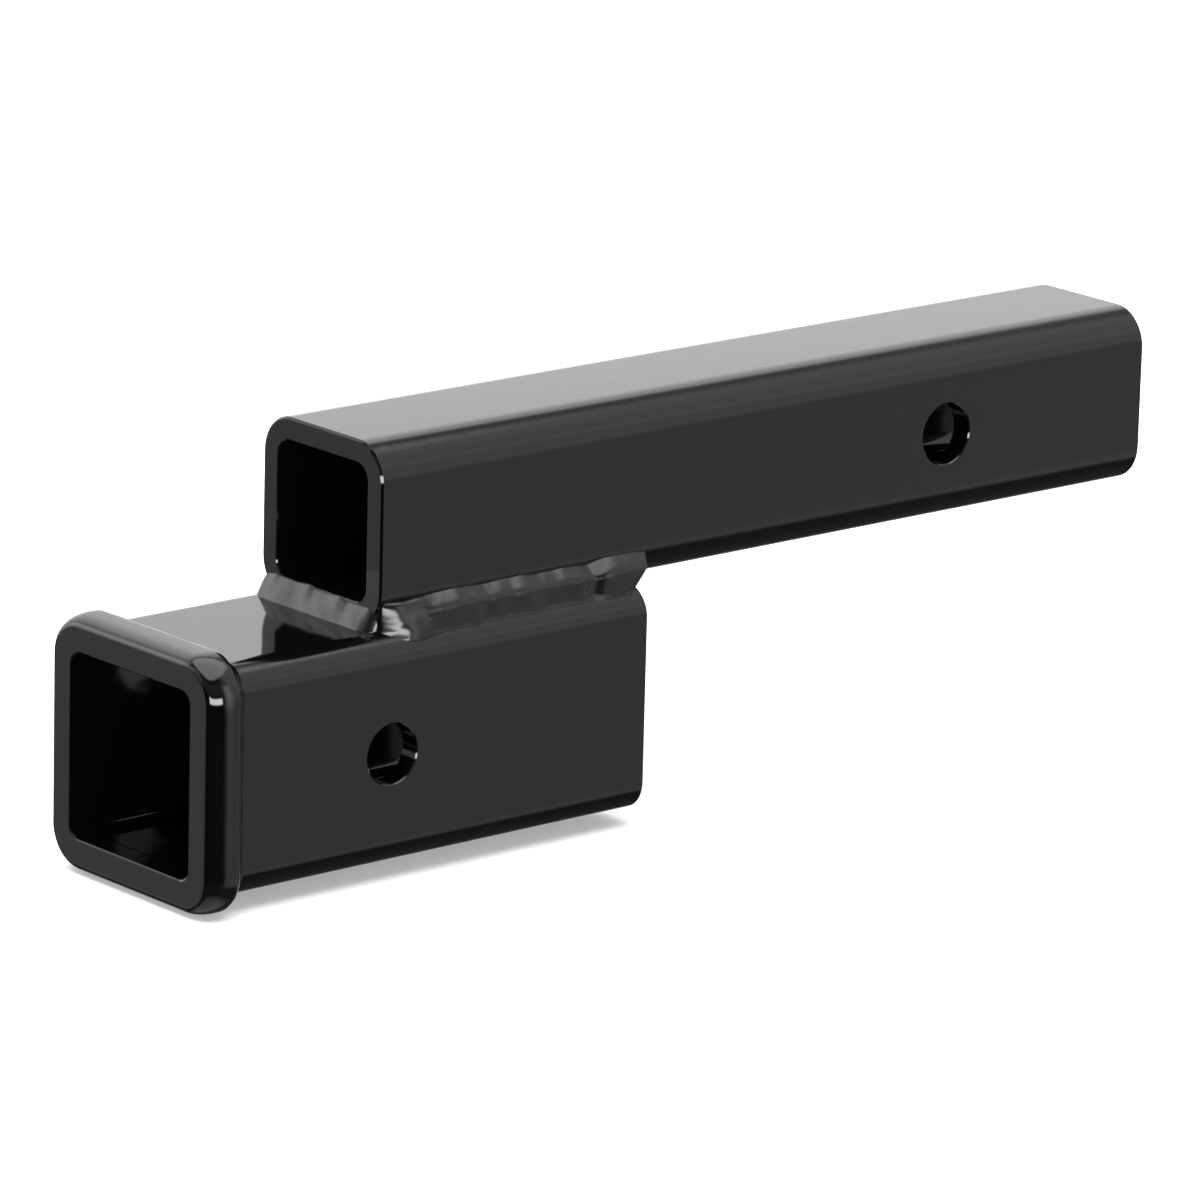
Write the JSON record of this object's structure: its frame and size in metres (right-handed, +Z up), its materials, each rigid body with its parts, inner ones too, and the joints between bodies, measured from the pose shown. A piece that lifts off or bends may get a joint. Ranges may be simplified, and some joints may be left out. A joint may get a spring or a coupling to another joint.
{
  "type": "hitch receiver adapter",
  "caption": "Square steel shank tube welded on top of a larger square receiver tube with a collared mouth, with cross holes for hitch pins, in a gloss black coat.",
  "frame": {"origin": "centre of the pin hole through the shank, where the adapter is pinned into the vehicle", "axes": "+X along the tubes from the receiver's mouth to the free end of the shank, +Y across the tubes along the pins, +Z up, from the receiver tube to the shank"},
  "size_m": [0.3429, 0.0716, 0.1183],
  "materials": {
    "tube_coat": "gloss",
    "weld_coat": "gloss"
  },
  "bodies": {
    "root": {"shank_tube": "tube_coat", "receiver_tube": "tube_coat", "mouth_collar": "tube_coat", "collar_weld": "weld_coat", "weld_front": "weld_coat", "weld_right": "weld_coat", "weld_left": "weld_coat", "weld_rear": "weld_coat"}
  },
  "joints": []
}
